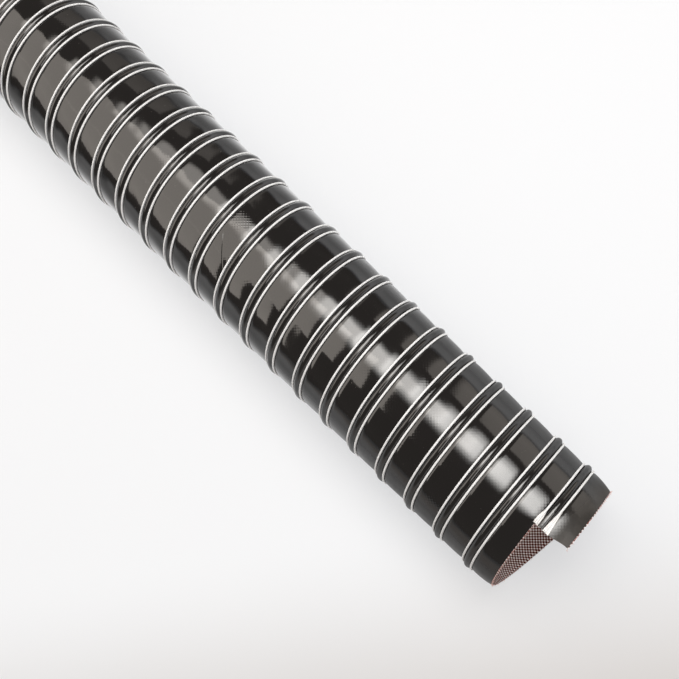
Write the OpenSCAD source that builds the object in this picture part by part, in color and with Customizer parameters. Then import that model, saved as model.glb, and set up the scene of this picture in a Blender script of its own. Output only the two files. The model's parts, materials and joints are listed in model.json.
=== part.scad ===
// Flexible air duct: two coated glass-fabric plies over a spring-steel helix, with two
// glass-fibre cords bonded outside, one on each side of the hump that the wire makes.
//
// The duct lies along +X, and the origin is the centre of its inlet mouth. The helix is
// right-handed about +X. Every piece is built in lengths of 2 or 2.5 turns, so that the
// duct can bend and close up between one length and the next.

/* [Bore and plies] */
// Clear bore of the duct
bore_d = 76; // [60:1:120]
// Thickness of the inner ply
inner_ply_t = 0.5; // [0.3:0.1:0.8]
// Thickness of the outer ply
outer_ply_t = 0.5; // [0.3:0.1:0.8]

/* [Helix] */
// Axial distance from one turn of the wire to the next
pitch = 21.2; // [20:0.2:30]
// Lengths that the duct is built in
duct_lengths = 11; // [2:1:11]
// Half turns of the helix in the odd-numbered lengths
odd_half_turns = 4; // [2:2:6]
// Half turns of the helix in the even-numbered lengths
even_half_turns = 5; // [3:2:7]
// Share of the pitch by which the fabric reaches back from the wire to its spiral edge
edge_share = 0.25; // [0.22:0.01:0.3]

/* [Spring wire] */
// Diameter of the wire
wire_d = 1.6; // [1.2:0.1:2]
// Gap between the wire and the inner ply it lies on
wire_seat_gap = 0.02; // [0.01:0.01:0.05]
// Gap between the top of the wire and the outer ply
wire_head_gap = 0.18; // [0.1:0.02:0.3]
// Gap between the ends of the wire in neighbouring lengths
wire_end_gap = 0.5; // [0.4:0.1:0.8]

/* [Hump and cords] */
// Width of the hump where it rises from the fabric
hump_w = 4; // [3.8:0.1:4.4]
// Diameter of each outside cord
cord_d = 1.25; // [0.8:0.05:1.4]
// Gap between the foot of the hump and the cord beside it
cord_gap = 0.35; // [0.2:0.05:0.4]
// Gap between a cord and the fabric under it
cord_seat_gap = 0.02; // [0.01:0.01:0.05]

/* [Hidden] */
$fn = 96;
profile_fn = 32;

inner_ply_r = bore_d / 2;
outer_ply_r = inner_ply_r + inner_ply_t;
skin_r = outer_ply_r + outer_ply_t;

wire_r = wire_d / 2;
wire_path_r = outer_ply_r + wire_seat_gap + wire_r;

// The hump is an arc through its two feet and its crest, one ply thicker than the tunnel.
hump_h = wire_seat_gap + wire_d + wire_head_gap;
hump_r = (hump_h ^ 2 + (hump_w / 2) ^ 2) / (2 * hump_h);
hump_path_r = skin_r + hump_h - hump_r;
tunnel_r = hump_r - outer_ply_t;

cord_r = cord_d / 2;
cord_path_r = skin_r + cord_seat_gap + cord_r;
cord_offset = hump_w / 2 + cord_gap + cord_r;

// The inlet edge starts at X = 0, so the wire starts one back reach along.
edge_back = edge_share * pitch;
wire_start = edge_back;
duct_reach = (duct_lengths + 2) * max(odd_half_turns, even_half_turns) * pitch / 2;
// The outer ply is drawn this much thicker inside, and then bored out.
wall_overlap = 1;
// What odd half rings of a strand are thinner by
ring_step = 0.002;

function half_turns(n) = n % 2 == 1 ? odd_half_turns : even_half_turns;
function first_half(n) = n <= 1 ? 0 : first_half(n - 1) + half_turns(n - 1);
function last_half(n) = first_half(n) + half_turns(n) - 1;
function two_digits(n) = str(n < 10 ? "0" : "", n);
function names(piece) = [for (n = [1:duct_lengths]) str(piece, "_", two_digits(n))];

// Stands the helix, which is worked out about Z, along X. Its zero angle is then below.
module along_duct()
    translate([wire_start, 0, 0]) rotate([0, 90, 0]) children();

// Even half turns climb on the +Y side, and odd ones on the -Y side. Each is a flat
// half ring, tilted so that it meets the next one with a common tangent.
function tilt(half, path_r) = (half % 2 == 0 ? 1 : -1) * atan(pitch / (4 * path_r));
function side_turn(half) = half % 2 == 0 ? 0 : 180;
function half_middle(half) = (half + 0.5) * pitch / 2;

module half_ring(half, path_r, profile_r, shift)
    translate([0, 0, half_middle(half) + shift])
        rotate([0, tilt(half, path_r), 0])
            rotate([0, 0, side_turn(half)])
                rotate_extrude(angle = 180)
                    translate([norm([path_r, pitch / 4]), 0])
                        circle(r = profile_r, $fn = profile_fn);

// A round strand along every half turn of a length. Odd half rings are a hair thinner,
// so that each of their end faces lies within the even one's that it meets.
module strand(n, path_r, profile_r, shift = 0)
    for (half = [first_half(n):last_half(n)])
        half_ring(half, path_r, profile_r - (half % 2) * ring_step, shift);

// The gap between two wire ends, below or above the bore where a half turn starts
module wire_gap(half)
    translate([(half % 2 == 0 ? 1 : -1) * wire_path_r, 0, half * pitch / 2])
        cube([2 * wire_d, wire_end_gap, 2 * wire_d], center = true);

// The first half turn at or after a given one that climbs on the same side as another
function same_side(from, side) = (from - side) % 2 == 0 ? from : from + 1;

// Half of the wall of a length, between the spiral edges of its fabric
module half_wall(n, side, in_r, out_r) {
    first = same_side(first_half(n), side);
    next = same_side(last_half(n) + 1, side);
    middle_r = (in_r + out_r) / 2;
    edge_tilt = tilt(first, middle_r);
    slab_t = (next - first) * pitch / 2 * cos(edge_tilt);
    intersection() {
        rotate([0, 0, side_turn(side)])
            rotate_extrude(angle = 180)
                translate([in_r, -pitch])
                    square([out_r - in_r, duct_reach]);
        translate([0, 0, half_middle(first) - edge_back])
            rotate([0, edge_tilt, 0])
                translate([-bore_d, -bore_d, 0])
                    cube([2 * bore_d, 2 * bore_d, slab_t]);
    }
}

module wall(n, in_r, out_r) {
    half_wall(n, 0, in_r, out_r);
    half_wall(n, 1, in_r, out_r);
}

module inner_ply(n)
    color("#8a4a3c") along_duct() wall(n, inner_ply_r, outer_ply_r);

module outer_ply(n)
    color("#1c1a1a") along_duct()
        difference() {
            union() {
                wall(n, outer_ply_r - wall_overlap, skin_r);
                strand(n, hump_path_r, hump_r);
            }
            strand(n, hump_path_r, tunnel_r);
            translate([0, 0, -pitch]) cylinder(r = outer_ply_r, h = duct_reach);
        }

module spring_wire(n)
    color("#8f9296") along_duct()
        difference() {
            strand(n, wire_path_r, wire_r);
            wire_gap(first_half(n));
            wire_gap(last_half(n) + 1);
        }

module lead_cord(n)
    color("#e9e7e2") along_duct() strand(n, cord_path_r, cord_r, cord_offset);

module trail_cord(n)
    color("#e9e7e2") along_duct() strand(n, cord_path_r, cord_r, -cord_offset);

for (n = [1:duct_lengths]) {
    inner_ply(n);
    outer_ply(n);
    spring_wire(n);
    lead_cord(n);
    trail_cord(n);
}
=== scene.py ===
import json
import math

import bmesh
import bpy
import numpy as np
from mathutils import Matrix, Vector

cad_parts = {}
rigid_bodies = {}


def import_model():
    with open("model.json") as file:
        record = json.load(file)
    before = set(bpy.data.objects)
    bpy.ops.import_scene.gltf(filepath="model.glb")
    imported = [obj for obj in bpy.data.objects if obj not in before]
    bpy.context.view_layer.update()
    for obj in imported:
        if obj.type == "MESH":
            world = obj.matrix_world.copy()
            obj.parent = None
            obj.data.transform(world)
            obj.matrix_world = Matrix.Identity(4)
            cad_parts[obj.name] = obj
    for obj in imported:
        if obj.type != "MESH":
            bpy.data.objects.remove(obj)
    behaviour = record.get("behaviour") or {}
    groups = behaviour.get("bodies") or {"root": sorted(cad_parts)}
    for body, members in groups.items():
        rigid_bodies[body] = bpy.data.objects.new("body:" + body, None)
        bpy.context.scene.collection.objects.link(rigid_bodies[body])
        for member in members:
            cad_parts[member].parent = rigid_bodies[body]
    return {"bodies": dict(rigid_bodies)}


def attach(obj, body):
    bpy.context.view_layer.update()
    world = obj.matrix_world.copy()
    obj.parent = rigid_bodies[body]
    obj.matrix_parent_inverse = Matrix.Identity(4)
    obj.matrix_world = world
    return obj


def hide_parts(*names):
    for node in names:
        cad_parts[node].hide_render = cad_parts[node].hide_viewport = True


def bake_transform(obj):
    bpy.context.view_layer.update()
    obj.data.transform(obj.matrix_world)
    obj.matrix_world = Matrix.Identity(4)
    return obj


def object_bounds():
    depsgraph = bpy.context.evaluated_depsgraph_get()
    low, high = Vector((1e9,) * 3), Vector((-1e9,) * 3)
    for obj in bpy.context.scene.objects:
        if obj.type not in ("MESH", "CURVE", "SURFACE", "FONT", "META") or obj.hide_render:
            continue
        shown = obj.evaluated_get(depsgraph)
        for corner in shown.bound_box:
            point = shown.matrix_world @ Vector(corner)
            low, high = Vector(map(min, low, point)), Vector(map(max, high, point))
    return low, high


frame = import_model()
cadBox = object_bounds()
mm = 0.001
tau = 2 * math.pi

# The duct lies along X. Its helix is counted in turns from the inlet, where the wire starts below.
duct = {
    "boreRadius": 38 * mm,
    "plyThickness": 0.5 * mm,
    "pitch": 21.2 * mm,
    "turns": 24.5,
    "edgeShare": 0.25,  # how far the fabric's edge lies behind the wire, as a share of the pitch
    "halfTurns": (4, 5),  # of the odd and of the even lengths between joints
}
skinRadius = duct["boreRadius"] + 2 * duct["plyThickness"]
wireStart = duct["edgeShare"] * duct["pitch"]
bodies = sorted(name for name in frame["bodies"])


def hexColour(code):
    parts = [int(code[i : i + 2], 16) / 255 for i in (1, 3, 5)]
    linear = [p / 12.92 if p <= 0.04045 else ((p + 0.055) / 1.055) ** 2.4 for p in parts]
    return (*linear, 1.0)


def addNode(tree, kind, inputs=(), **settings):
    # inputs: a list in socket order or a dictionary by name; a node stands for its first output
    node = tree.nodes.new(kind)
    for name, value in settings.items():
        setattr(node, name, value)
    pairs = inputs.items() if isinstance(inputs, dict) else enumerate(inputs)
    for key, value in pairs:
        if isinstance(value, bpy.types.Node):
            value = value.outputs[0]
        if isinstance(value, bpy.types.NodeSocket):
            tree.links.new(value, node.inputs[key])
        else:
            node.inputs[key].default_value = value
    return node


def startShapeTree(name, sizes):
    # a geometry tree whose inputs are the named sizes, with its group input
    tree = bpy.data.node_groups.new(name, "GeometryNodeTree")
    for label, value in sizes.items():
        kind = "Material" if value is None else "Int" if isinstance(value, int) else "Float"
        tree.interface.new_socket(label, in_out="INPUT", socket_type="NodeSocket" + kind)
    tree.interface.new_socket("Geometry", in_out="OUTPUT", socket_type="NodeSocketGeometry")
    return tree, tree.nodes.new("NodeGroupInput").outputs


def endShapeTree(tree, geometry, material):
    solid = addNode(tree, "GeometryNodeRealizeInstances", [geometry])
    finished = addNode(tree, "GeometryNodeSetMaterial", {"Geometry": solid, "Material": material})
    addNode(tree, "NodeGroupOutput", [finished])
    return tree


def growMesh(name, tree, sizes):
    # runs a geometry tree with these sizes and keeps the result as a plain mesh
    holder = bpy.data.objects.new(name, bpy.data.meshes.new(name))
    bpy.context.scene.collection.objects.link(holder)
    modifier = holder.modifiers.new("shape", "NODES")
    modifier.node_group = tree
    for socket in tree.interface.items_tree:
        if socket.in_out == "INPUT":
            modifier[socket.identifier] = sizes[socket.name]
    grown = holder.evaluated_get(bpy.context.evaluated_depsgraph_get())
    mesh = bpy.data.meshes.new_from_object(grown)
    mesh.name = name
    bpy.data.objects.remove(holder)
    mesh.materials.clear()  # the tree leaves an empty slot before its own
    mesh.materials.append(sizes["Material"])
    mesh.polygons.foreach_set("material_index", [0] * len(mesh.polygons))
    return mesh


# near the cut end the wire has sprung back, and it draws its cords and the fabric with it
slip = {"Slip": -1.8 * mm, "Slip from": 24.16, "Slip to": 24.35}


def addSlip(tree, given, turn):
    share = addNode(
        tree,
        "ShaderNodeMapRange",
        {"Value": turn, "From Min": given["Slip from"], "From Max": given["Slip to"]},
        interpolation_type="SMOOTHSTEP",
    )
    return addNode(tree, "ShaderNodeMath", [share, given["Slip"]], operation="MULTIPLY")


outletEdge = 1 - duct["edgeShare"]  # where the fabric's two edges lie, in turns from the wire
inletEdge = -duct["edgeShare"]
wallSizes = {
    **slip,
    "Turns": duct["turns"],
    "Pitch": duct["pitch"],
    "Start": wireStart,
    "Edge share": duct["edgeShare"],
    "Radius": skinRadius,
    "Hump height": 2.0 * mm,
    "Hump half width": 2.33 * mm,
    "Hump fullness": 2.5,  # 2 gives a round crest, and more gives a flatter one
    "End rise": 0.62,  # what is left of the hump at the cut, where the wire no longer fills it
    "End fall": 0.07,  # turns over which it falls
    "Bulge": 0.82 * mm,  # how far the fabric stands out between two humps
    "Bulge end": 0.85,  # share of the pitch at which it lies flat again
    "Bulge power": 4.0,  # how steeply it falls there
    "Wrinkle": 0.1 * mm,
    "Wrinkle scale": 42.0,
    "Edge reach": 0.0,
    "Flap droop": 1.0 * mm,  # how far the free edge of the last turn hangs in
    "Flap from": 0.2,  # where the hanging begins, in turns from the wire
    "Corner cut": 0.008,  # turns by which the strip's outer corner was cut short
    "Thread": 1.047 * mm,
    "Around": 96,
    "Across": 48,
    "Crowding": -0.6 / (2 * tau),  # how far the rows across draw together over the hump
    "Material": None,
}


def buildWallTree():
    tree, given = startShapeTree("ductWall", wallSizes)
    rows = addNode(
        tree, "ShaderNodeMath", [given["Around"], given["Turns"], 1.0], operation="MULTIPLY_ADD"
    )
    grid = addNode(tree, "GeometryNodeMeshGrid", [given["Turns"], 1.0, rows, given["Across"]])
    spot = addNode(tree, "ShaderNodeSeparateXYZ", [addNode(tree, "GeometryNodeInputPosition")])
    turn = addNode(
        tree, "ShaderNodeMath", [given["Turns"], 0.5, spot.outputs["X"]], operation="MULTIPLY_ADD"
    )
    back = addNode(tree, "ShaderNodeMath", [0.5, given["Edge share"]], operation="SUBTRACT")
    even = addNode(tree, "ShaderNodeMath", [spot.outputs["Y"], back])
    # rows crowd together over the hump, where the wall curves most
    beat = addNode(tree, "ShaderNodeMath", [even, 2 * tau], operation="MULTIPLY")
    shift = addNode(tree, "ShaderNodeMath", [beat], operation="SINE")
    across = addNode(
        tree, "ShaderNodeMath", [shift, given["Crowding"], even], operation="MULTIPLY_ADD"
    )

    # the hump over the wire, which falls at both cut ends
    away = addNode(tree, "ShaderNodeMath", [across], operation="ABSOLUTE")
    offset = addNode(tree, "ShaderNodeMath", [away, given["Pitch"]], operation="MULTIPLY")
    share = addNode(
        tree, "ShaderNodeMapRange", {"Value": offset, "From Max": given["Hump half width"]}
    )
    steep = addNode(tree, "ShaderNodeMath", [share, given["Hump fullness"]], operation="POWER")
    flank = addNode(tree, "ShaderNodeMath", [1.0, steep], operation="SUBTRACT")
    left = addNode(tree, "ShaderNodeMath", [given["Turns"], turn], operation="SUBTRACT")
    nearEnd = addNode(tree, "ShaderNodeMath", [left, turn], operation="MINIMUM")
    rise = addNode(
        tree,
        "ShaderNodeMapRange",
        {"Value": nearEnd, "From Max": given["End fall"], "To Min": given["End rise"]},
        interpolation_type="SMOOTHSTEP",
    )
    humpTop = addNode(tree, "ShaderNodeMath", [rise, given["Hump height"]], operation="MULTIPLY")
    hump = addNode(tree, "ShaderNodeMath", [flank, humpTop], operation="MULTIPLY")

    # the strip's free corner was cut a little short
    nearCorner = addNode(
        tree,
        "ShaderNodeMapRange",
        {"Value": across, "From Min": given["Flap from"], "From Max": outletEdge},
        interpolation_type="SMOOTHSTEP",
    )
    nearStep = addNode(
        tree, "ShaderNodeMapRange", {"Value": left, "From Min": 0.1, "From Max": 0.0}
    )
    cornerShare = addNode(tree, "ShaderNodeMath", [nearCorner, nearStep], operation="MULTIPLY")
    shortened = addNode(
        tree, "ShaderNodeMath", [cornerShare, given["Corner cut"]], operation="MULTIPLY"
    )
    bent = addNode(tree, "ShaderNodeMath", [turn, shortened], operation="SUBTRACT")

    # between two humps the fabric bulges a little
    halfTurn = addNode(tree, "ShaderNodeMath", [across, math.pi], operation="MULTIPLY")
    swing = addNode(tree, "ShaderNodeMath", [halfTurn], operation="SINE")
    between = addNode(tree, "ShaderNodeMath", [swing, 2.0], operation="POWER")
    past = addNode(tree, "ShaderNodeMath", [across], operation="FRACT")
    covered = addNode(tree, "ShaderNodeMath", [past, given["Bulge end"]], operation="DIVIDE")
    fallen = addNode(tree, "ShaderNodeMath", [covered, given["Bulge power"]], operation="POWER")
    crown = addNode(tree, "ShaderNodeMath", [1.0, fallen], operation="SUBTRACT", use_clamp=True)
    clear = addNode(
        tree,
        "ShaderNodeMapRange",
        {"Value": past, "From Min": 0.05, "From Max": 0.25},
        interpolation_type="SMOOTHSTEP",
    )
    fullness = addNode(tree, "ShaderNodeMath", [crown, clear], operation="MULTIPLY")
    bulge = addNode(tree, "ShaderNodeMath", [fullness, given["Bulge"]], operation="MULTIPLY")

    # where a point of the strip lies along the duct and round it
    steps = addNode(tree, "ShaderNodeMath", [bent, across])
    length = addNode(
        tree, "ShaderNodeMath", [steps, given["Pitch"], given["Start"]], operation="MULTIPLY_ADD"
    )
    angle = addNode(tree, "ShaderNodeMath", [bent, tau], operation="MULTIPLY")

    # its creases lie on the even duct, so they stay when the bulge changes
    evenPlace = addNode(tree, "ShaderNodeCombineXYZ", {"X": length, "Z": -skinRadius})
    evenRing = addNode(
        tree,
        "ShaderNodeVectorRotate",
        {"Vector": evenPlace, "Angle": angle},
        rotation_type="X_AXIS",
    )
    creases = addNode(
        tree,
        "ShaderNodeTexNoise",
        {"Vector": evenRing, "Scale": given["Wrinkle scale"], "Detail": 2.0, "Roughness": 0.4},
    )
    inward = addNode(tree, "ShaderNodeMath", [creases, given["Wrinkle"]], operation="MULTIPLY")
    wrinkle = addNode(tree, "ShaderNodeMath", [inward, between], operation="MULTIPLY")

    # the inner ply reaches past the outer one along the free spiral edges
    edgeBand = 0.07  # turns from an edge over which the reach grows
    outletShare = addNode(
        tree,
        "ShaderNodeMapRange",
        {"Value": across, "From Min": outletEdge - edgeBand, "From Max": outletEdge},
    )
    inletShare = addNode(
        tree,
        "ShaderNodeMapRange",
        {"Value": across, "From Min": inletEdge + edgeBand, "From Max": inletEdge, "To Max": -1.0},
    )
    lastTurn = addNode(
        tree, "ShaderNodeMapRange", {"Value": left, "From Min": 1.0, "From Max": 0.97}
    )
    firstTurn = addNode(
        tree, "ShaderNodeMapRange", {"Value": turn, "From Min": 1.0, "From Max": 0.97}
    )
    atOutlet = addNode(tree, "ShaderNodeMath", [outletShare, lastTurn], operation="MULTIPLY")
    atInlet = addNode(
        tree, "ShaderNodeMath", [inletShare, firstTurn, atOutlet], operation="MULTIPLY_ADD"
    )
    frayed = addNode(tree, "ShaderNodeMath", [creases, 0.5])
    reach = addNode(tree, "ShaderNodeMath", [given["Edge reach"], frayed], operation="MULTIPLY")
    reached = addNode(tree, "ShaderNodeMath", [atInlet, reach, length], operation="MULTIPLY_ADD")
    # the previous turn holds the strip's near edge, so only the rest of it slips
    loose = addNode(
        tree, "ShaderNodeMapRange", {"Value": across, "From Min": inletEdge, "From Max": -0.08}
    )
    place = addNode(
        tree,
        "ShaderNodeMath",
        [loose, addSlip(tree, given, turn), reached],
        operation="MULTIPLY_ADD",
    )

    risen = addNode(tree, "ShaderNodeMath", [given["Radius"], hump])
    bulged = addNode(tree, "ShaderNodeMath", [risen, bulge])
    creased = addNode(tree, "ShaderNodeMath", [bulged, wrinkle], operation="SUBTRACT")
    freeEdge = addNode(
        tree,
        "ShaderNodeMapRange",
        {"Value": across, "From Min": given["Flap from"], "From Max": outletEdge},
    )
    hanging = addNode(tree, "ShaderNodeMath", [freeEdge, freeEdge], operation="MULTIPLY")
    hangingLast = addNode(tree, "ShaderNodeMath", [hanging, lastTurn], operation="MULTIPLY")
    droop = addNode(
        tree, "ShaderNodeMath", [hangingLast, given["Flap droop"]], operation="MULTIPLY"
    )
    radius = addNode(tree, "ShaderNodeMath", [creased, droop], operation="SUBTRACT")
    below = addNode(tree, "ShaderNodeMath", [radius, -1.0], operation="MULTIPLY")
    flat = addNode(tree, "ShaderNodeCombineXYZ", {"X": place, "Z": below})
    wound = addNode(
        tree, "ShaderNodeVectorRotate", {"Vector": flat, "Angle": angle}, rotation_type="X_AXIS"
    )

    # the weave is counted in threads, a whole even number of them to a turn
    around = addNode(tree, "ShaderNodeMath", [angle, skinRadius], operation="MULTIPLY")
    threadsAround = addNode(tree, "ShaderNodeMath", [around, given["Thread"]], operation="DIVIDE")
    threadsAlong = addNode(tree, "ShaderNodeMath", [length, given["Thread"]], operation="DIVIDE")
    weave = addNode(tree, "ShaderNodeCombineXYZ", {"X": threadsAround, "Y": threadsAlong})
    mapped = addNode(
        tree,
        "GeometryNodeStoreNamedAttribute",
        {"Geometry": grid, "Name": "UVMap", "Value": weave},
        data_type="FLOAT2",
        domain="CORNER",
    )
    moved = addNode(tree, "GeometryNodeSetPosition", {"Geometry": mapped, "Position": wound})
    joined = addNode(
        tree, "GeometryNodeMergeByDistance", {"Geometry": moved, "Distance": 0.01 * mm}
    )
    kept = {"restPlace": "GeometryNodeInputPosition", "skinNormal": "GeometryNodeInputNormal"}
    for label, source in kept.items():
        joined = addNode(
            tree,
            "GeometryNodeStoreNamedAttribute",
            {"Geometry": joined, "Name": label, "Value": addNode(tree, source)},
            data_type="FLOAT_VECTOR",
            domain="POINT",
        )
    return endShapeTree(tree, joined, given["Material"])


strandSizes = {
    **slip,
    "First turn": 0.0,
    "Last turn": duct["turns"],
    "Pitch": duct["pitch"],
    "Start": wireStart,
    "Path radius": skinRadius,
    "Strand radius": 0.6 * mm,
    "Tip share": 1.0,  # of the radius, that is left at the outlet end
    "Tip turns": 0.02,
    "Copies": 1,
    "Spread": 0.0,
    "Aside": 0.0,
    "Lift": 0.0,
    "Rings": 200,
    "Sides": 12,
    "Opening": 1.6,  # a fan of strands opens slowly at first where this is more than 1
    "Seed": 3,
    "Material": None,
}


def buildStrandTree():
    # a round strand, or a fan of them, that follows the helix
    tree, given = startShapeTree("helixStrand", strandSizes)
    line = addNode(tree, "GeometryNodeCurvePrimitiveLine")
    rail = addNode(tree, "GeometryNodeResampleCurve", {"Curve": line, "Count": given["Rings"]})
    fan = addNode(
        tree,
        "GeometryNodeDuplicateElements",
        {"Geometry": rail, "Amount": given["Copies"]},
        domain="SPLINE",
    )
    along = addNode(tree, "GeometryNodeSplineParameter").outputs["Factor"]
    turn = addNode(
        tree,
        "ShaderNodeMapRange",
        {"Value": along, "To Min": given["First turn"], "To Max": given["Last turn"]},
        clamp=False,
    )
    chance = {"ID": fan.outputs["Duplicate Index"], "Seed": given["Seed"]}
    aside = addNode(tree, "FunctionNodeRandomValue", {**chance, 2: -0.5, 3: 0.5}, data_type="FLOAT")
    raised = addNode(
        tree, "FunctionNodeRandomValue", {**chance, 3: given["Lift"]}, data_type="FLOAT"
    )
    opening = addNode(tree, "ShaderNodeMath", [along, given["Opening"]], operation="POWER")
    reach = addNode(
        tree,
        "ShaderNodeMath",
        [aside.outputs[1], given["Spread"], given["Aside"]],
        operation="MULTIPLY_ADD",
    )
    sideways = addNode(
        tree, "ShaderNodeMath", [reach, opening, given["Start"]], operation="MULTIPLY_ADD"
    )
    slipped = addNode(tree, "ShaderNodeMath", [sideways, addSlip(tree, given, turn)])
    length = addNode(
        tree, "ShaderNodeMath", [turn, given["Pitch"], slipped], operation="MULTIPLY_ADD"
    )
    radius = addNode(
        tree,
        "ShaderNodeMath",
        [raised.outputs[1], opening, given["Path radius"]],
        operation="MULTIPLY_ADD",
    )
    below = addNode(tree, "ShaderNodeMath", [radius, -1.0], operation="MULTIPLY")
    angle = addNode(tree, "ShaderNodeMath", [turn, tau], operation="MULTIPLY")
    flat = addNode(tree, "ShaderNodeCombineXYZ", {"X": length, "Z": below})
    wound = addNode(
        tree, "ShaderNodeVectorRotate", {"Vector": flat, "Angle": angle}, rotation_type="X_AXIS"
    )
    path = addNode(tree, "GeometryNodeSetPosition", {"Geometry": fan, "Position": wound})
    outward = addNode(tree, "ShaderNodeVectorMath", [wound, (0.0, 1.0, 1.0)], operation="MULTIPLY")
    upright = addNode(
        tree, "GeometryNodeSetCurveNormal", {"Curve": path, "Normal": outward}, mode="FREE"
    )
    left = addNode(tree, "ShaderNodeMath", [given["Last turn"], turn], operation="SUBTRACT")
    tip = addNode(
        tree,
        "ShaderNodeMapRange",
        {"Value": left, "From Max": given["Tip turns"], "To Min": given["Tip share"]},
    )
    measured = addNode(
        tree,
        "GeometryNodeStoreNamedAttribute",
        {"Geometry": upright, "Name": "alongStrand", "Value": turn},
        data_type="FLOAT",
        domain="POINT",
    )
    circle = addNode(
        tree,
        "GeometryNodeCurvePrimitiveCircle",
        {"Resolution": given["Sides"], "Radius": given["Strand radius"]},
        mode="RADIUS",
    )
    compass = addNode(
        tree,
        "ShaderNodeVectorMath",
        [addNode(tree, "GeometryNodeInputPosition")],
        operation="NORMALIZE",
    )
    profile = addNode(
        tree,
        "GeometryNodeStoreNamedAttribute",
        {"Geometry": circle, "Name": "aroundStrand", "Value": compass},
        data_type="FLOAT_VECTOR",
        domain="POINT",
    )
    swept = addNode(
        tree,
        "GeometryNodeCurveToMesh",
        {"Curve": measured, "Profile Curve": profile, "Scale": tip, "Fill Caps": True},
    )
    corners = addNode(tree, "GeometryNodeInputMeshFaceNeighbors").outputs["Vertex Count"]
    isSide = addNode(
        tree, "FunctionNodeCompare", {2: corners, 3: 4}, data_type="INT", operation="EQUAL"
    )
    smooth = addNode(tree, "GeometryNodeSetShadeSmooth", {"Geometry": swept, "Selection": isSide})
    return endShapeTree(tree, smooth, given["Material"])


def cutWall(whole, low, high):
    # the stretch of a wall between two planes across the duct; None leaves that end as it is
    bm = bmesh.new()
    bm.from_mesh(whole)
    for place, side in ((low, -1), (high, 1)):
        if place is not None:
            parts = bm.verts[:] + bm.edges[:] + bm.faces[:]
            bmesh.ops.bisect_plane(
                bm, geom=parts, plane_co=(place, 0, 0), plane_no=(side, 0, 0), clear_outer=True
            )
    return bm


def thickenWall(bm, thickness):
    # adds the inner face and the rims; the layer "side" is 1 outside, -1 inside and 0 on a rim
    skin = bm.verts.layers.float_vector["skinNormal"]
    side = bm.faces.layers.int.new("side")
    uvMap = bm.loops.layers.uv.active
    for face in bm.faces:
        face[side] = 1
    edges = [edge for edge in bm.edges if edge.is_boundary]
    copied = bmesh.ops.duplicate(bm, geom=bm.verts[:] + bm.edges[:] + bm.faces[:])
    twins = copied["vert_map"]
    insideFaces = [part for part in copied["geom"] if isinstance(part, bmesh.types.BMFace)]
    for part in copied["geom"]:
        if isinstance(part, bmesh.types.BMVert):
            part.co -= part[skin].normalized() * thickness
    bmesh.ops.reverse_faces(bm, faces=insideFaces)
    for face in insideFaces:
        face[side] = -1
    for edge in edges:
        loop = edge.link_loops[0]
        start, end = loop.vert, loop.link_loop_next.vert
        spots = {start: loop[uvMap].uv.copy(), end: loop.link_loop_next[uvMap].uv.copy()}
        spots[twins[start]], spots[twins[end]] = spots[start], spots[end]
        rim = bm.faces.new((end, start, twins[start], twins[end]))
        rim.smooth = False
        rim.material_index = 1
        for corner in rim.loops:
            corner[uvMap].uv = spots[corner.vert]


def keepNormals(mesh):
    # both faces keep the uncut wall's normals, so that no cut between two pieces shows in the gloss
    skin = np.zeros(len(mesh.vertices) * 3)
    mesh.attributes["skinNormal"].data.foreach_get("vector", skin)
    skin = skin.reshape(-1, 3)
    skin /= np.maximum(np.linalg.norm(skin, axis=1, keepdims=True), 1e-9)
    corner = np.zeros(len(mesh.loops), int)
    mesh.loops.foreach_get("vertex_index", corner)
    sides = np.zeros(len(mesh.polygons), int)
    mesh.attributes["side"].data.foreach_get("value", sides)
    count = np.zeros(len(mesh.polygons), int)
    mesh.polygons.foreach_get("loop_total", count)
    flat = np.zeros(len(mesh.polygons) * 3)
    mesh.polygons.foreach_get("normal", flat)
    side = np.repeat(sides, count)[:, None]
    ownNormals = np.repeat(flat.reshape(-1, 3), count, axis=0)
    normals = np.where(side == 0, ownNormals, side * skin[corner])
    mesh.normals_split_custom_set(normals.tolist())


def addPiece(name, mesh):
    piece = bpy.data.objects.new(name, mesh)
    bpy.context.scene.collection.objects.link(piece)
    return piece


def wallPiece(name, whole, low, high, rimMaterial):
    bm = cutWall(whole, low, high)
    thickenWall(bm, duct["plyThickness"])
    mesh = bpy.data.meshes.new(name)
    bm.to_mesh(mesh)
    bm.free()
    mesh.materials.append(whole.materials[0])
    mesh.materials.append(rimMaterial)
    keepNormals(mesh)
    return addPiece(name, mesh)


def startMaterial(name):
    material = bpy.data.materials.new(name)
    material.use_nodes = True
    tree = material.node_tree
    shader = tree.nodes["Principled BSDF"]
    return material, tree, shader


coatLook = {
    "colour": "#0d0b0b",
    "dust": "#6e6a66",
    "matt": "#55524e",  # a grey that the coat is given in patches beside the cut
    "roughness": (0.1, 0.2),
    "mattRoughness": 0.3,
    "edgeDulling": 0.3,
    "filmRoughness": 0.05,
    "ior": 1.4,
    "filmIor": 1.68,
    "dented": (0.3, 0.45),  # X between which the dents away from the cut fade out
    "handled": (0.498, 0.528),  # X between which the weave begins to show
    "rubbed": (0.524, 0.534),  # X between which the film has gone
    "faceOn": (0.5, 0.26),  # facing at which the film begins to mirror, and mirrors fully
    "glancing": (0.58, 0.84),  # the same toward the edges, away from the cut
    "weaveDepth": 0.016 * mm,
    "puckerDepth": 0.02 * mm,
    "rippleDepth": 0.16 * mm,
    "dentShare": 5.0,  # how much deeper the ripples are away from the cut
    "pressedSpot": (0.2997, 0.0084, 0.0381),  # where the skin was once pressed onto the weave
    "pressedReach": (8 * mm, 4 * mm),
    "pressedDepth": 1.6,  # in weave depths
    "foldMiddle": (0.3042, -0.0112, 0.0364),
    "foldNormal": (-0.789, -0.587, -0.181),
    "foldDepth": 0.1 * mm,
    "foldHalfWidth": 0.5 * mm,
    "foldReach": (12 * mm, 9 * mm),
}


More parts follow.
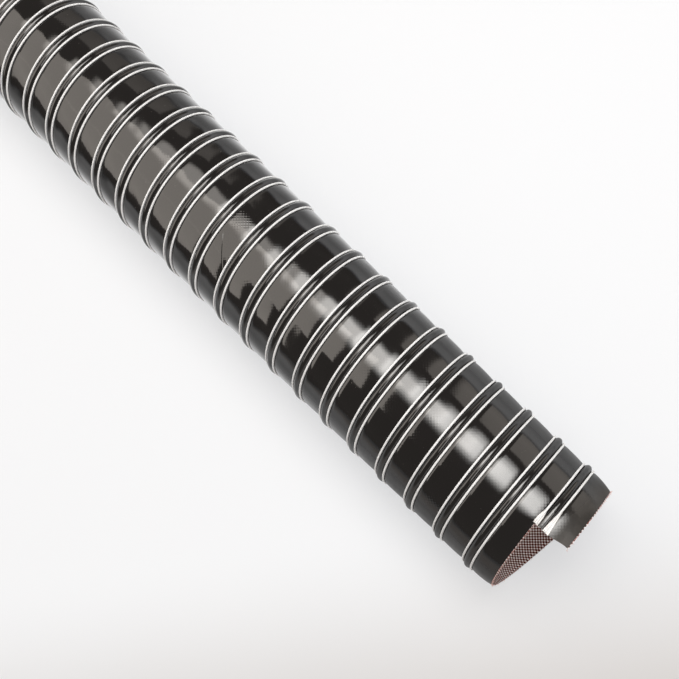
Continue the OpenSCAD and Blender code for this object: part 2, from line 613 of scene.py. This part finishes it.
def threadCrowns(tree):
    # where warp and weft cross, in a plain weave: 1 on the crown of a yarn, -1 on the other set's
    threads = addNode(tree, "ShaderNodeUVMap", uv_map="UVMap")
    swing = addNode(tree, "ShaderNodeVectorMath", {0: threads, "Scale": math.pi}, operation="SCALE")
    crossed = addNode(tree, "ShaderNodeSeparateXYZ", [swing])
    warp = addNode(tree, "ShaderNodeMath", [crossed.outputs["X"]], operation="COSINE")
    weft = addNode(tree, "ShaderNodeMath", [crossed.outputs["Y"]], operation="COSINE")
    return addNode(tree, "ShaderNodeMath", [warp, weft], operation="MULTIPLY")


def coatedFabric():
    # polychloroprene-coated woven glass, calendered: a wet-looking black skin, with the weave
    # just coming through where the coat is thin
    material, tree, shader = startMaterial("neopreneCoatedGlass")
    place = addNode(tree, "ShaderNodeAttribute", attribute_name="restPlace").outputs["Vector"]
    thin = addNode(
        tree,
        "ShaderNodeTexNoise",
        {"Vector": place, "Scale": 26.0, "Detail": 5.0, "Roughness": 0.7},
    )
    bare = addNode(
        tree,
        "ShaderNodeMapRange",
        {"Value": thin, "From Min": 0.57, "From Max": 0.68, "To Min": 0.12},
    )
    along = addNode(tree, "ShaderNodeSeparateXYZ", [place]).outputs["X"]
    low, high = coatLook["handled"]
    handled = addNode(
        tree,
        "ShaderNodeMapRange",
        {"Value": along, "From Min": low, "From Max": high, "To Max": 0.3},
    )
    worn = addNode(tree, "ShaderNodeMath", [bare, handled], operation="MAXIMUM")
    fromSpot = addNode(
        tree, "ShaderNodeVectorMath", [place, coatLook["pressedSpot"]], operation="DISTANCE"
    )
    low, high = coatLook["pressedReach"]
    pressed = addNode(
        tree,
        "ShaderNodeMapRange",
        {
            "Value": fromSpot.outputs["Value"],
            "From Min": low,
            "From Max": high,
            "To Max": coatLook["pressedDepth"],
        },
    )
    showing = addNode(tree, "ShaderNodeMath", [worn, pressed], operation="MAXIMUM")
    weave = addNode(tree, "ShaderNodeMath", [threadCrowns(tree), showing], operation="MULTIPLY")
    weaveHeight = addNode(
        tree, "ShaderNodeMath", [weave, coatLook["weaveDepth"]], operation="MULTIPLY"
    )

    # the fabric puckers in fine creases along the duct, where it was pulled tight round the wire
    drawn = addNode(tree, "ShaderNodeVectorMath", [place, (0.14, 1.0, 1.0)], operation="MULTIPLY")
    creases = addNode(tree, "ShaderNodeTexNoise", {"Vector": drawn, "Scale": 520.0, "Detail": 2.0})
    broad = addNode(tree, "ShaderNodeTexNoise", {"Vector": place, "Scale": 38.0, "Detail": 1.0})
    tight = addNode(tree, "ShaderNodeMapRange", {"Value": broad, "From Min": 0.46, "From Max": 0.7})
    tighter = addNode(tree, "ShaderNodeMath", [handled, 1.5, tight], operation="MULTIPLY_ADD")
    creased = addNode(tree, "ShaderNodeMath", [creases, tighter], operation="MULTIPLY")
    pucker = addNode(
        tree,
        "ShaderNodeMath",
        [creased, coatLook["puckerDepth"], weaveHeight],
        operation="MULTIPLY_ADD",
    )
    ripple = addNode(
        tree,
        "ShaderNodeTexNoise",
        {"Vector": place, "Scale": 62.0, "Detail": 1.0, "Roughness": 0.4},
    )
    # away from the cut, the skin is dented more
    low, high = coatLook["dented"]
    worked = addNode(
        tree,
        "ShaderNodeMapRange",
        {"Value": along, "From Min": low, "From Max": high, "To Min": 0.1},
    )
    fresh = addNode(tree, "ShaderNodeMath", [1.0, worked], operation="SUBTRACT")
    denting = addNode(
        tree, "ShaderNodeMath", [fresh, coatLook["dentShare"], 1.0], operation="MULTIPLY_ADD"
    )
    dents = addNode(tree, "ShaderNodeMath", [ripple, denting], operation="MULTIPLY")
    dented = addNode(
        tree, "ShaderNodeMath", [dents, coatLook["rippleDepth"], pucker], operation="MULTIPLY_ADD"
    )

    # a short fold beside the pressed spot
    fromFold = addNode(
        tree, "ShaderNodeVectorMath", [place, coatLook["foldMiddle"]], operation="SUBTRACT"
    )
    aside = addNode(
        tree, "ShaderNodeVectorMath", [fromFold, coatLook["foldNormal"]], operation="DOT_PRODUCT"
    )
    asideBy = addNode(tree, "ShaderNodeMath", [aside.outputs["Value"]], operation="ABSOLUTE")
    foldLine = addNode(
        tree,
        "ShaderNodeMapRange",
        {"Value": asideBy, "From Min": coatLook["foldHalfWidth"], "From Max": 0.0},
    )
    alongFold = addNode(
        tree, "ShaderNodeVectorMath", [fromFold], operation="LENGTH"
    ).outputs["Value"]
    low, high = coatLook["foldReach"]
    foldShare = addNode(
        tree, "ShaderNodeMapRange", {"Value": alongFold, "From Min": low, "From Max": high}
    )
    fold = addNode(tree, "ShaderNodeMath", [foldLine, foldShare], operation="MULTIPLY")
    height = addNode(
        tree, "ShaderNodeMath", [fold, -coatLook["foldDepth"], dented], operation="MULTIPLY_ADD"
    )
    relief = addNode(tree, "ShaderNodeBump", {"Height": height, "Distance": 1.0, "Strength": 1.0})

    # scuffs and handling take the gloss down
    scuffs = addNode(
        tree,
        "ShaderNodeTexNoise",
        {"Vector": place, "Scale": 70.0, "Detail": 6.0, "Roughness": 0.65},
    )
    low, high = coatLook["roughness"]
    roughness = addNode(
        tree,
        "ShaderNodeMapRange",
        {"Value": scuffs, "From Min": 0.45, "From Max": 0.75, "To Min": low, "To Max": high},
    )
    # edge-on toward the cut end the skin is dull
    facing = addNode(tree, "ShaderNodeLayerWeight", {"Blend": 0.5}).outputs["Facing"]
    edgeOn = addNode(
        tree,
        "ShaderNodeMapRange",
        {"Value": facing, "From Min": 0.35, "From Max": 0.65, "To Max": coatLook["edgeDulling"]},
    )
    dulled = addNode(tree, "ShaderNodeMath", [edgeOn, worked, roughness], operation="MULTIPLY_ADD")
    low, high = coatLook["rubbed"]
    rubbed = addNode(
        tree, "ShaderNodeMapRange", {"Value": along, "From Min": low, "From Max": high}
    )
    matted = addNode(
        tree,
        "ShaderNodeMath",
        [rubbed, coatLook["mattRoughness"], dulled],
        operation="MULTIPLY_ADD",
    )
    specks = addNode(tree, "ShaderNodeTexNoise", {"Vector": place, "Scale": 900.0, "Detail": 2.0})
    speck = addNode(
        tree, "ShaderNodeMapRange", {"Value": specks, "From Min": 0.77, "From Max": 0.8}
    )
    colour = addNode(
        tree,
        "ShaderNodeMix",
        {0: speck, 6: hexColour(coatLook["colour"]), 7: hexColour(coatLook["dust"])},
        data_type="RGBA",
    )
    patchy = addNode(tree, "ShaderNodeMath", [rubbed, scuffs], operation="MULTIPLY")
    finish = addNode(
        tree,
        "ShaderNodeMix",
        {0: patchy, 6: colour.outputs[2], 7: hexColour(coatLook["matt"])},
        data_type="RGBA",
    )
    tree.links.new(finish.outputs[2], shader.inputs["Base Color"])
    tree.links.new(matted.outputs[0], shader.inputs["Roughness"])
    tree.links.new(relief.outputs[0], shader.inputs["Normal"])
    shader.inputs["IOR"].default_value = coatLook["ior"]

    # the wet top film is slightly matt when seen aslant, so only the coat below it mirrors there
    low, high = coatLook["faceOn"]
    faceOn = addNode(
        tree, "ShaderNodeMapRange", {"Value": facing, "From Min": low, "From Max": high}
    )
    low, high = coatLook["glancing"]
    glancing = addNode(
        tree, "ShaderNodeMapRange", {"Value": facing, "From Min": low, "From Max": high}
    )
    edgeFilm = addNode(tree, "ShaderNodeMath", [glancing, fresh], operation="MULTIPLY")
    whole = addNode(tree, "ShaderNodeMath", [faceOn, edgeFilm], operation="MAXIMUM")
    kept = addNode(tree, "ShaderNodeMapRange", {"Value": rubbed, "To Min": 1.0, "To Max": 0.2})
    film = addNode(tree, "ShaderNodeMath", [whole, kept], operation="MULTIPLY")
    tree.links.new(film.outputs[0], shader.inputs["Coat Weight"])
    shader.inputs["Coat IOR"].default_value = coatLook["filmIor"]
    shader.inputs["Coat Roughness"].default_value = coatLook["filmRoughness"]
    tree.links.new(relief.outputs[0], shader.inputs["Coat Normal"])
    return material


liningLook = {
    # the hole colour is partly painted shade in the weave's gaps, and the white crown colour partly
    # a painted highlight
    "hole": "#4a1812",
    "yarn": "#b05546",
    "crown": "#ffffff",
    "steps": (0.35, 0.52, 0.62),  # how high hole, yarn and crown lie in the weave
    "depth": 0.1 * mm,
    "roughness": 0.35,
}


def liningFabric():
    # plain-woven glass with a thin red-brown silicone coat: pale on the crowns, partly the glass's
    # own white and partly a painted highlight, and dark in the gaps, partly the coat's colour and
    # partly painted shade
    material, tree, shader = startMaterial("siliconeCoatedGlass")
    crowns = threadCrowns(tree)
    colours = addNode(
        tree, "ShaderNodeValToRGB", [addNode(tree, "ShaderNodeMapRange", [crowns, -1.0, 1.0])]
    )
    ramp = colours.color_ramp.elements
    hole, yarn, crown = liningLook["steps"]
    ramp[0].position = hole
    ramp[0].color = hexColour(liningLook["hole"])
    ramp[1].position = crown
    ramp[1].color = hexColour(liningLook["crown"])
    ramp.new(yarn).color = hexColour(liningLook["yarn"])
    height = addNode(tree, "ShaderNodeMath", [crowns, liningLook["depth"]], operation="MULTIPLY")
    relief = addNode(tree, "ShaderNodeBump", {"Height": height, "Distance": 1.0})
    tree.links.new(colours.outputs[0], shader.inputs["Base Color"])
    tree.links.new(relief.outputs[0], shader.inputs["Normal"])
    shader.inputs["Roughness"].default_value = liningLook["roughness"]
    return material


def cutRim(name, body, fibre):
    # a knife cut through coated cloth: the coat's colour, speckled with the ends of the glass yarn
    material, tree, shader = startMaterial(name)
    place = addNode(tree, "ShaderNodeAttribute", attribute_name="restPlace").outputs["Vector"]
    ends = addNode(tree, "ShaderNodeTexNoise", {"Vector": place, "Scale": 1100.0, "Detail": 2.0})
    share = addNode(tree, "ShaderNodeMapRange", {"Value": ends, "From Min": 0.45, "From Max": 0.6})
    colour = addNode(
        tree, "ShaderNodeMix", {0: share, 6: hexColour(body), 7: hexColour(fibre)}, data_type="RGBA"
    )
    tree.links.new(colour.outputs[2], shader.inputs["Base Color"])
    shader.inputs["Roughness"].default_value = 0.8
    return material


cordLook = {
    "colour": "#fafcff",
    # painted shade in the grooves between the plies
    "grooveShade": "#eceef0",
    "depth": 0.012 * mm,
    "twist": 2.4 * mm,  # length of one turn of the twist
    "plies": 3.0,
    "roughness": 0.4,
}


def glassCord():
    # twisted glass-fibre cord with a clear size: bright white and satin, with a shallow twist whose
    # grooves carry a little painted shade
    material, tree, shader = startMaterial("glassFibreCord")
    along = addNode(tree, "ShaderNodeAttribute", attribute_name="alongStrand").outputs["Fac"]
    around = addNode(tree, "ShaderNodeAttribute", attribute_name="aroundStrand").outputs["Vector"]
    sides = addNode(tree, "ShaderNodeSeparateXYZ", [around])
    angle = addNode(
        tree, "ShaderNodeMath", [sides.outputs["Y"], sides.outputs["X"]], operation="ARCTAN2"
    )
    perTurn = round(tau * skinRadius / cordLook["twist"])
    twist = addNode(tree, "ShaderNodeMath", [along, perTurn * tau, angle], operation="MULTIPLY_ADD")
    plyAngle = addNode(tree, "ShaderNodeMath", [twist, cordLook["plies"]], operation="MULTIPLY")
    plies = addNode(tree, "ShaderNodeMath", [plyAngle], operation="SINE")
    share = addNode(tree, "ShaderNodeMapRange", [plies, -1.0, -0.2])
    colour = addNode(
        tree,
        "ShaderNodeMix",
        {0: share, 6: hexColour(cordLook["grooveShade"]), 7: hexColour(cordLook["colour"])},
        data_type="RGBA",
    )
    height = addNode(tree, "ShaderNodeMath", [plies, cordLook["depth"]], operation="MULTIPLY")
    relief = addNode(tree, "ShaderNodeBump", {"Height": height, "Distance": 1.0})
    tree.links.new(colour.outputs[2], shader.inputs["Base Color"])
    tree.links.new(relief.outputs[0], shader.inputs["Normal"])
    shader.inputs["Roughness"].default_value = cordLook["roughness"]
    return material


def sizedGlass():
    # the same glass fibre soaked in clear size, where a cut cord is glued down: smooth wet white
    material, tree, shader = startMaterial("sizedGlassFibre")
    place = addNode(tree, "ShaderNodeAttribute", attribute_name="aroundStrand").outputs["Vector"]
    streaks = addNode(tree, "ShaderNodeTexNoise", {"Vector": place, "Scale": 3.0})
    colour = addNode(
        tree,
        "ShaderNodeMix",
        {0: streaks, 6: hexColour("#f4f3f1"), 7: hexColour("#ffffff")},
        data_type="RGBA",
    )
    tree.links.new(colour.outputs[2], shader.inputs["Base Color"])
    shader.inputs["Roughness"].default_value = 0.3
    return material


def springSteel():
    # patented and drawn spring-steel wire: grey metal, with fine lengthwise die marks
    material, tree, shader = startMaterial("drawnSpringSteel")
    around = addNode(tree, "ShaderNodeAttribute", attribute_name="aroundStrand").outputs["Vector"]
    marks = addNode(tree, "ShaderNodeTexNoise", {"Vector": around, "Scale": 9.0, "Detail": 5.0})
    roughness = addNode(
        tree, "ShaderNodeMapRange", {"Value": marks, "To Min": 0.22, "To Max": 0.45}
    )
    tree.links.new(roughness.outputs[0], shader.inputs["Roughness"])
    shader.inputs["Base Color"].default_value = hexColour("#8f9296")
    shader.inputs["Metallic"].default_value = 1.0
    return material


paperLook = {
    "white": "#f6f8fb",
    # the near-edge and far colours are painted shade
    "nearEdge": "#c3bdb9",
    "far": "#a0a2a4",
    "glow": 0.57,
    "toward": (0.8, -0.6, 0.0),  # the way to the near edge
    "nearShade": (0.415, 0.595),  # how far along that way the paper darkens
    "middle": (0.27, 0.0, 0.0),
    "farShade": (0.38, 1.2),  # distance from the middle at which it does so all round
}


def studioPaper():
    # matt white paper on a light table, whose colour is painted darker along its near edge and far
    # from the duct, as painted shade
    material, tree, shader = startMaterial("studioPaper")
    place = addNode(tree, "ShaderNodeTexCoord").outputs["Object"]
    toward = addNode(
        tree, "ShaderNodeVectorMath", [place, paperLook["toward"]], operation="DOT_PRODUCT"
    )
    pulp = addNode(tree, "ShaderNodeTexNoise", {"Vector": place, "Scale": 3.0})
    spread = addNode(
        tree, "ShaderNodeMath", [pulp, 0.02, toward.outputs["Value"]], operation="MULTIPLY_ADD"
    )
    fromDuct = addNode(
        tree, "ShaderNodeVectorMath", [place, paperLook["middle"]], operation="DISTANCE"
    )
    start, end = paperLook["nearShade"]
    shade = addNode(
        tree,
        "ShaderNodeMapRange",
        {"Value": spread, "From Min": start, "From Max": end},
        interpolation_type="SMOOTHSTEP",
    )
    colour = addNode(
        tree,
        "ShaderNodeMix",
        {0: shade, 6: hexColour(paperLook["white"]), 7: hexColour(paperLook["nearEdge"])},
        data_type="RGBA",
    ).outputs[2]
    start, end = paperLook["farShade"]
    far = addNode(
        tree,
        "ShaderNodeMapRange",
        {"Value": fromDuct.outputs["Value"], "From Min": start, "From Max": end},
        interpolation_type="SMOOTHSTEP",
    )
    colour = addNode(
        tree, "ShaderNodeMix", {0: far, 6: colour, 7: hexColour(paperLook["far"])}, data_type="RGBA"
    ).outputs[2]
    tree.links.new(colour, shader.inputs["Base Color"])
    shader.inputs["Roughness"].default_value = 0.9
    glow = addNode(tree, "ShaderNodeEmission", {"Color": colour, "Strength": 1.0})
    ray = addNode(tree, "ShaderNodeLightPath").outputs
    seen = addNode(
        tree, "ShaderNodeMath", [ray["Is Camera Ray"], ray["Is Glossy Ray"]], operation="MAXIMUM"
    )
    shown = addNode(tree, "ShaderNodeMath", [seen, ray["Is Transmission Ray"]], operation="MAXIMUM")
    share = addNode(tree, "ShaderNodeMath", [shown, paperLook["glow"]], operation="MULTIPLY")
    both = addNode(tree, "ShaderNodeMixShader", [share, shader, glow])
    tree.links.new(both.outputs[0], tree.nodes["Material Output"].inputs["Surface"])
    return material


def lengthMiddles():
    # X of the middle of every length between two joints
    middles = []
    halves = 0
    for n in range(len(bodies)):
        step = duct["halfTurns"][n % 2]
        middles.append(wireStart + duct["pitch"] * (halves + step / 2) / 2)
        halves += step
    return middles


cords = {
    "offset": 2.975 * mm,  # from the middle of the hump to the middle of a cord
    "pathRadius": 39.6 * mm,
    "leadRise": 0.33 * mm,  # the lead cord lies where the fabric bulges
    "radius": 0.6 * mm,
}
wire = {
    "pathRadius": 39.32 * mm,
    "radius": 0.8 * mm,
    "setBack": (0.002, 0.03),  # turns by which its inlet and outlet ends are cut back
}


def strandPiece(name, material, offset, pathRadius, radius, low, high, ends=(0.0, 0.0)):
    start = wireStart + offset
    first = ends[0] if low is None else (low - start) / duct["pitch"]
    last = duct["turns"] - ends[1] if high is None else (high - start) / duct["pitch"]
    sizes = {
        **strandSizes,
        "First turn": first,
        "Last turn": last,
        "Start": start,
        "Path radius": pathRadius,
        "Strand radius": radius,
        "Rings": round((last - first) * wallSizes["Around"]) + 1,
        "Material": material,
    }
    return addPiece(name, growMesh(name, strandTree, sizes))


fringeSizes = {
    **slip,
    "First turn": 0.0,
    "Last turn": 1.0,
    "Pitch": duct["pitch"],
    "Start": 0.0,
    "Radius": skinRadius - duct["plyThickness"],
    "Out": 1.0,  # which way along the duct the threads point
    "Thread radius": 0.1 * mm,
    "Tip radius": 0.03 * mm,
    "Thread length": 1.1 * mm,
    "Count": 260,
    "Seed": 5,
    "Material": None,
}


def buildFringeTree():
    # loose ends of glass yarn along a cut edge
    tree, given = startShapeTree("cutFringe", fringeSizes)
    line = addNode(tree, "GeometryNodeMeshLine", {"Count": given["Count"]})
    order = addNode(tree, "GeometryNodeInputIndex")
    share = addNode(tree, "ShaderNodeMath", [order, given["Count"]], operation="DIVIDE")
    turn = addNode(
        tree,
        "ShaderNodeMapRange",
        {"Value": share, "To Min": given["First turn"], "To Max": given["Last turn"]},
    )
    start = addNode(tree, "ShaderNodeMath", [given["Start"], addSlip(tree, given, turn)])
    length = addNode(
        tree, "ShaderNodeMath", [turn, given["Pitch"], start], operation="MULTIPLY_ADD"
    )
    below = addNode(tree, "ShaderNodeMath", [given["Radius"], -1.0], operation="MULTIPLY")
    flat = addNode(tree, "ShaderNodeCombineXYZ", {"X": length, "Z": below})
    angle = addNode(tree, "ShaderNodeMath", [turn, tau], operation="MULTIPLY")
    wound = addNode(
        tree, "ShaderNodeVectorRotate", {"Vector": flat, "Angle": angle}, rotation_type="X_AXIS"
    )
    edge = addNode(tree, "GeometryNodeSetPosition", {"Geometry": line, "Position": wound})
    thread = addNode(
        tree,
        "GeometryNodeMeshCone",
        {
            "Vertices": 5,
            "Radius Top": given["Tip radius"],
            "Radius Bottom": given["Thread radius"],
            "Depth": given["Thread length"],
        },
    )
    quarter = addNode(tree, "ShaderNodeMath", [given["Out"], math.pi / 2], operation="MULTIPLY")
    lean = addNode(
        tree,
        "FunctionNodeRandomValue",
        {0: (-0.5, -0.7, -0.7), 1: (0.5, 0.7, 0.7), "Seed": given["Seed"]},
        data_type="FLOAT_VECTOR",
    )
    leaning = addNode(
        tree, "ShaderNodeVectorMath", [lean, addNode(tree, "ShaderNodeCombineXYZ", {"Y": quarter})]
    )
    size = addNode(
        tree,
        "FunctionNodeRandomValue",
        {2: 0.35, 3: 1.25, "Seed": given["Seed"]},
        data_type="FLOAT",
    )
    threads = addNode(
        tree,
        "GeometryNodeInstanceOnPoints",
        {"Points": edge, "Instance": thread, "Rotation": leaning, "Scale": size.outputs[1]},
    )
    return endShapeTree(tree, threads, given["Material"])


strandTree = buildStrandTree()
fringeTree = buildFringeTree()
wallTree = buildWallTree()
coat, lining, cordWhite, steel = coatedFabric(), liningFabric(), glassCord(), springSteel()
coatRim = cutRim("coatCutRim", "#1b1919", "#6d6a66")
liningRim = cutRim("liningCutRim", "#4f1c17", "#b98a80")
print("growing the two plies")
outerWhole = growMesh("outerWhole", wallTree, {**wallSizes, "Material": coat})
innerWhole = growMesh(
    "innerWhole",
    wallTree,
    {
        **wallSizes,
        "Radius": skinRadius - duct["plyThickness"],
        "Hump height": 0.0,
        "Edge reach": 0.45 * mm,
        "Across": 24,
        "Material": lining,
    },
)
print("cutting them at the middle of every length")
middles = lengthMiddles()
pieceCount = len(bodies) - 1
for n in range(pieceCount):
    label = f"{n + 1:02d}"
    low = middles[n] if n > 0 else None
    high = middles[n + 1] if n < pieceCount - 1 else None
    pieces = {
        "outer_ply": wallPiece(f"outerPly{label}", outerWhole, low, high, coatRim),
        "inner_ply": wallPiece(
            f"innerPly{label}", innerWhole, low, high, liningRim
        ),
        "spring_wire": strandPiece(
            f"springWire{label}", steel, 0.0, wire["pathRadius"], wire["radius"],
            low, high, wire["setBack"],
        ),
    }
    for side, way, climb in (("lead", 1, cords["leadRise"]), ("trail", -1, 0)):
        pieces[f"{side}_cord"] = strandPiece(
            f"{side}Cord{label}", cordWhite, way * cords["offset"],
            cords["pathRadius"] + climb, cords["radius"], low, high,
        )
    for kind, piece in pieces.items():
        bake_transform(piece)
        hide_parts(f"{kind}_{label}")
        if high is None:
            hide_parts(f"{kind}_{n + 2:02d}")

print("fraying the cut ends")
looseGlass = cutRim("looseGlassYarn", "#d99d92", "#fff1ed")
cutEdges = {
    "outlet": {"first": duct["turns"] - 1, "reach": outletEdge, "out": 1.0, "body": bodies[-1]},
    "inlet": {"first": 0.0, "reach": inletEdge, "out": -1.0, "body": bodies[0]},
}
for place, edge in cutEdges.items():
    start = wireStart + edge["reach"] * duct["pitch"]
    sizes = {
        **fringeSizes,
        "First turn": edge["first"],
        "Last turn": edge["first"] + 1,
        "Start": start + edge["out"] * fringeSizes["Thread radius"],
        "Out": edge["out"],
        "Material": looseGlass,
    }
    name = f"{place}Fringe"
    fringe = addPiece(name, growMesh(name, fringeTree, sizes))
    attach(fringe, edge["body"])

# where the cut cords are glued down, each opens into a flat fan of its strands
cordEnds = {
    "trailCordEnd": {
        "offset": -cords["offset"],
        "height": 0.25 * mm,  # above the skin
        "spread": 4.4 * mm,
        "aside": -0.2 * mm,
        "turns": 0.055,  # over which the fan opens
    },
    "leadCordEnd": {
        "offset": cords["offset"],
        "height": 0.75 * mm,
        "spread": 3.8 * mm,
        "aside": 0.3 * mm,
        "turns": 0.085,
    },
}
# each strand of a fan; "past" is how many turns it reaches beyond the cut
fanStrand = {"count": 40, "radius": 0.2 * mm, "tip": 0.5, "lift": 0.3 * mm, "past": 0.001}
glued = sizedGlass()
for name, end in cordEnds.items():
    sizes = {
        **strandSizes,
        "First turn": duct["turns"] - end["turns"],
        "Last turn": duct["turns"] + fanStrand["past"],
        "Start": wireStart + end["offset"],
        "Path radius": skinRadius + end["height"],
        "Strand radius": fanStrand["radius"],
        "Tip share": fanStrand["tip"],
        "Copies": fanStrand["count"],
        "Spread": end["spread"],
        "Aside": end["aside"],
        "Lift": fanStrand["lift"],
        "Rings": 14,
        "Sides": 6,
        "Material": glued,
    }
    fray = addPiece(name, growMesh(name, strandTree, sizes))
    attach(fray, bodies[-1])

print("setting up the stage")
floorHeight = min(cadBox[0][2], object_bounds()[0][2])
bpy.ops.mesh.primitive_plane_add(size=8, location=(0, 0, floorHeight))
floor = bpy.context.object
floor.name = "studioFloor"
floor.data.materials.append(studioPaper())


def addSoftbox(name, centre, turn, size, strength, feather, colour):
    # a panel lamp of this radiance, which fades over the feather's two widths along its edges
    lamp = bpy.data.lights.new(name, "AREA")
    lamp.shape = "RECTANGLE"
    lamp.size, lamp.size_y = size
    lamp.energy = strength * math.pi * size[0] * size[1]
    lamp.color = hexColour(colour)[:3]
    lamp.use_nodes = True
    tree = lamp.node_tree
    spot = addNode(tree, "ShaderNodeNewGeometry").outputs["Parametric"]
    sides = addNode(tree, "ShaderNodeSeparateXYZ", [spot])
    share = 1.0
    for axis, width, fadeWidth in zip("XY", size, feather):
        fromMiddle = addNode(
            tree, "ShaderNodeMath", [sides.outputs[axis], 0.5], operation="SUBTRACT"
        )
        away = addNode(tree, "ShaderNodeMath", [fromMiddle], operation="ABSOLUTE")
        fade = addNode(
            tree,
            "ShaderNodeMapRange",
            {"Value": away, "From Min": 0.5, "From Max": 0.5 - fadeWidth / width},
            interpolation_type="SMOOTHSTEP",
        )
        share = addNode(tree, "ShaderNodeMath", [fade, share], operation="MULTIPLY")
    tree.links.new(share.outputs[0], tree.nodes["Emission"].inputs["Strength"])
    holder = bpy.data.objects.new(name, lamp)
    bpy.context.scene.collection.objects.link(holder)
    holder.location = centre
    holder.rotation_euler = [math.radians(a) for a in turn]


# place, turn in degrees, size, radiance, widths of the faded edges, colour
softboxes = {
    "keySoftbox": ((0.36, 0.31, 0.96), (0, 0, 0), (0.64, 0.86), 3.2, (0.12, 0.3), "#fffdfa"),
    "nearSoftbox": ((0.52, 0.44, 0.955), (0, 0, 0), (0.44, 1.0), 3.15, (0.13, 0.3), "#fffdfa"),
    "longSoftbox": ((0.08, 0.3, 0.97), (0, 0, 0), (0.94, 0.66), 1.85, (0.2, 0.2), "#fff9f2"),
    "topPanel": ((-0.39, -0.25, 0.975), (0, 0, 0), (1.34, 1.01), 1.42, (0.04, 0.042), "#fff6ec"),
    "windowPanel": ((-0.6, -0.91, 0.62), (56, 0, 0), (1.34, 0.79), 1.42, (0.05, 0.03), "#fff6ec"),
    "sideSoftbox": ((0.59, 1.15, 0.42), (-90, 0, 0), (0.66, 1.0), 0.72, (0.08, 0.12), "#fff6ec"),
    "endSoftbox": ((1.1, 0.1, 0.85), (0, 20, 0), (0.7, 0.9), 1.8, (0.1, 0.1), "#fffaf5"),
    "farSidePanel": ((-0.6, 1.15, 0.42), (-90, 0, 0), (0.8, 1.0), 0.35, (0.1, 0.12), "#fff6ec"),
}
for name, settings in softboxes.items():
    addSoftbox(name, *settings)

air = {"colour": "#fff5ec", "strength": 0.16}
world = bpy.data.worlds.new("studioAir")
bpy.context.scene.world = world
world.use_nodes = True
background = world.node_tree.nodes["Background"].inputs
background["Color"].default_value = hexColour(air["colour"])
background["Strength"].default_value = air["strength"]

view = {
    "lens": 58.084,
    "sensor": 36,
    "place": (0.536, -0.00208, 0.58231),
    "turn": (10.899, 11.057, 45.114),
}
cameraData = bpy.data.cameras.new("camera")
cameraData.lens = view["lens"]
cameraData.sensor_width = view["sensor"]
camera = bpy.data.objects.new("camera", cameraData)
camera.location = view["place"]
camera.rotation_euler = [math.radians(a) for a in view["turn"]]
bpy.context.scene.collection.objects.link(camera)
bpy.context.scene.camera = camera
bpy.context.scene.view_settings.view_transform = "Standard"
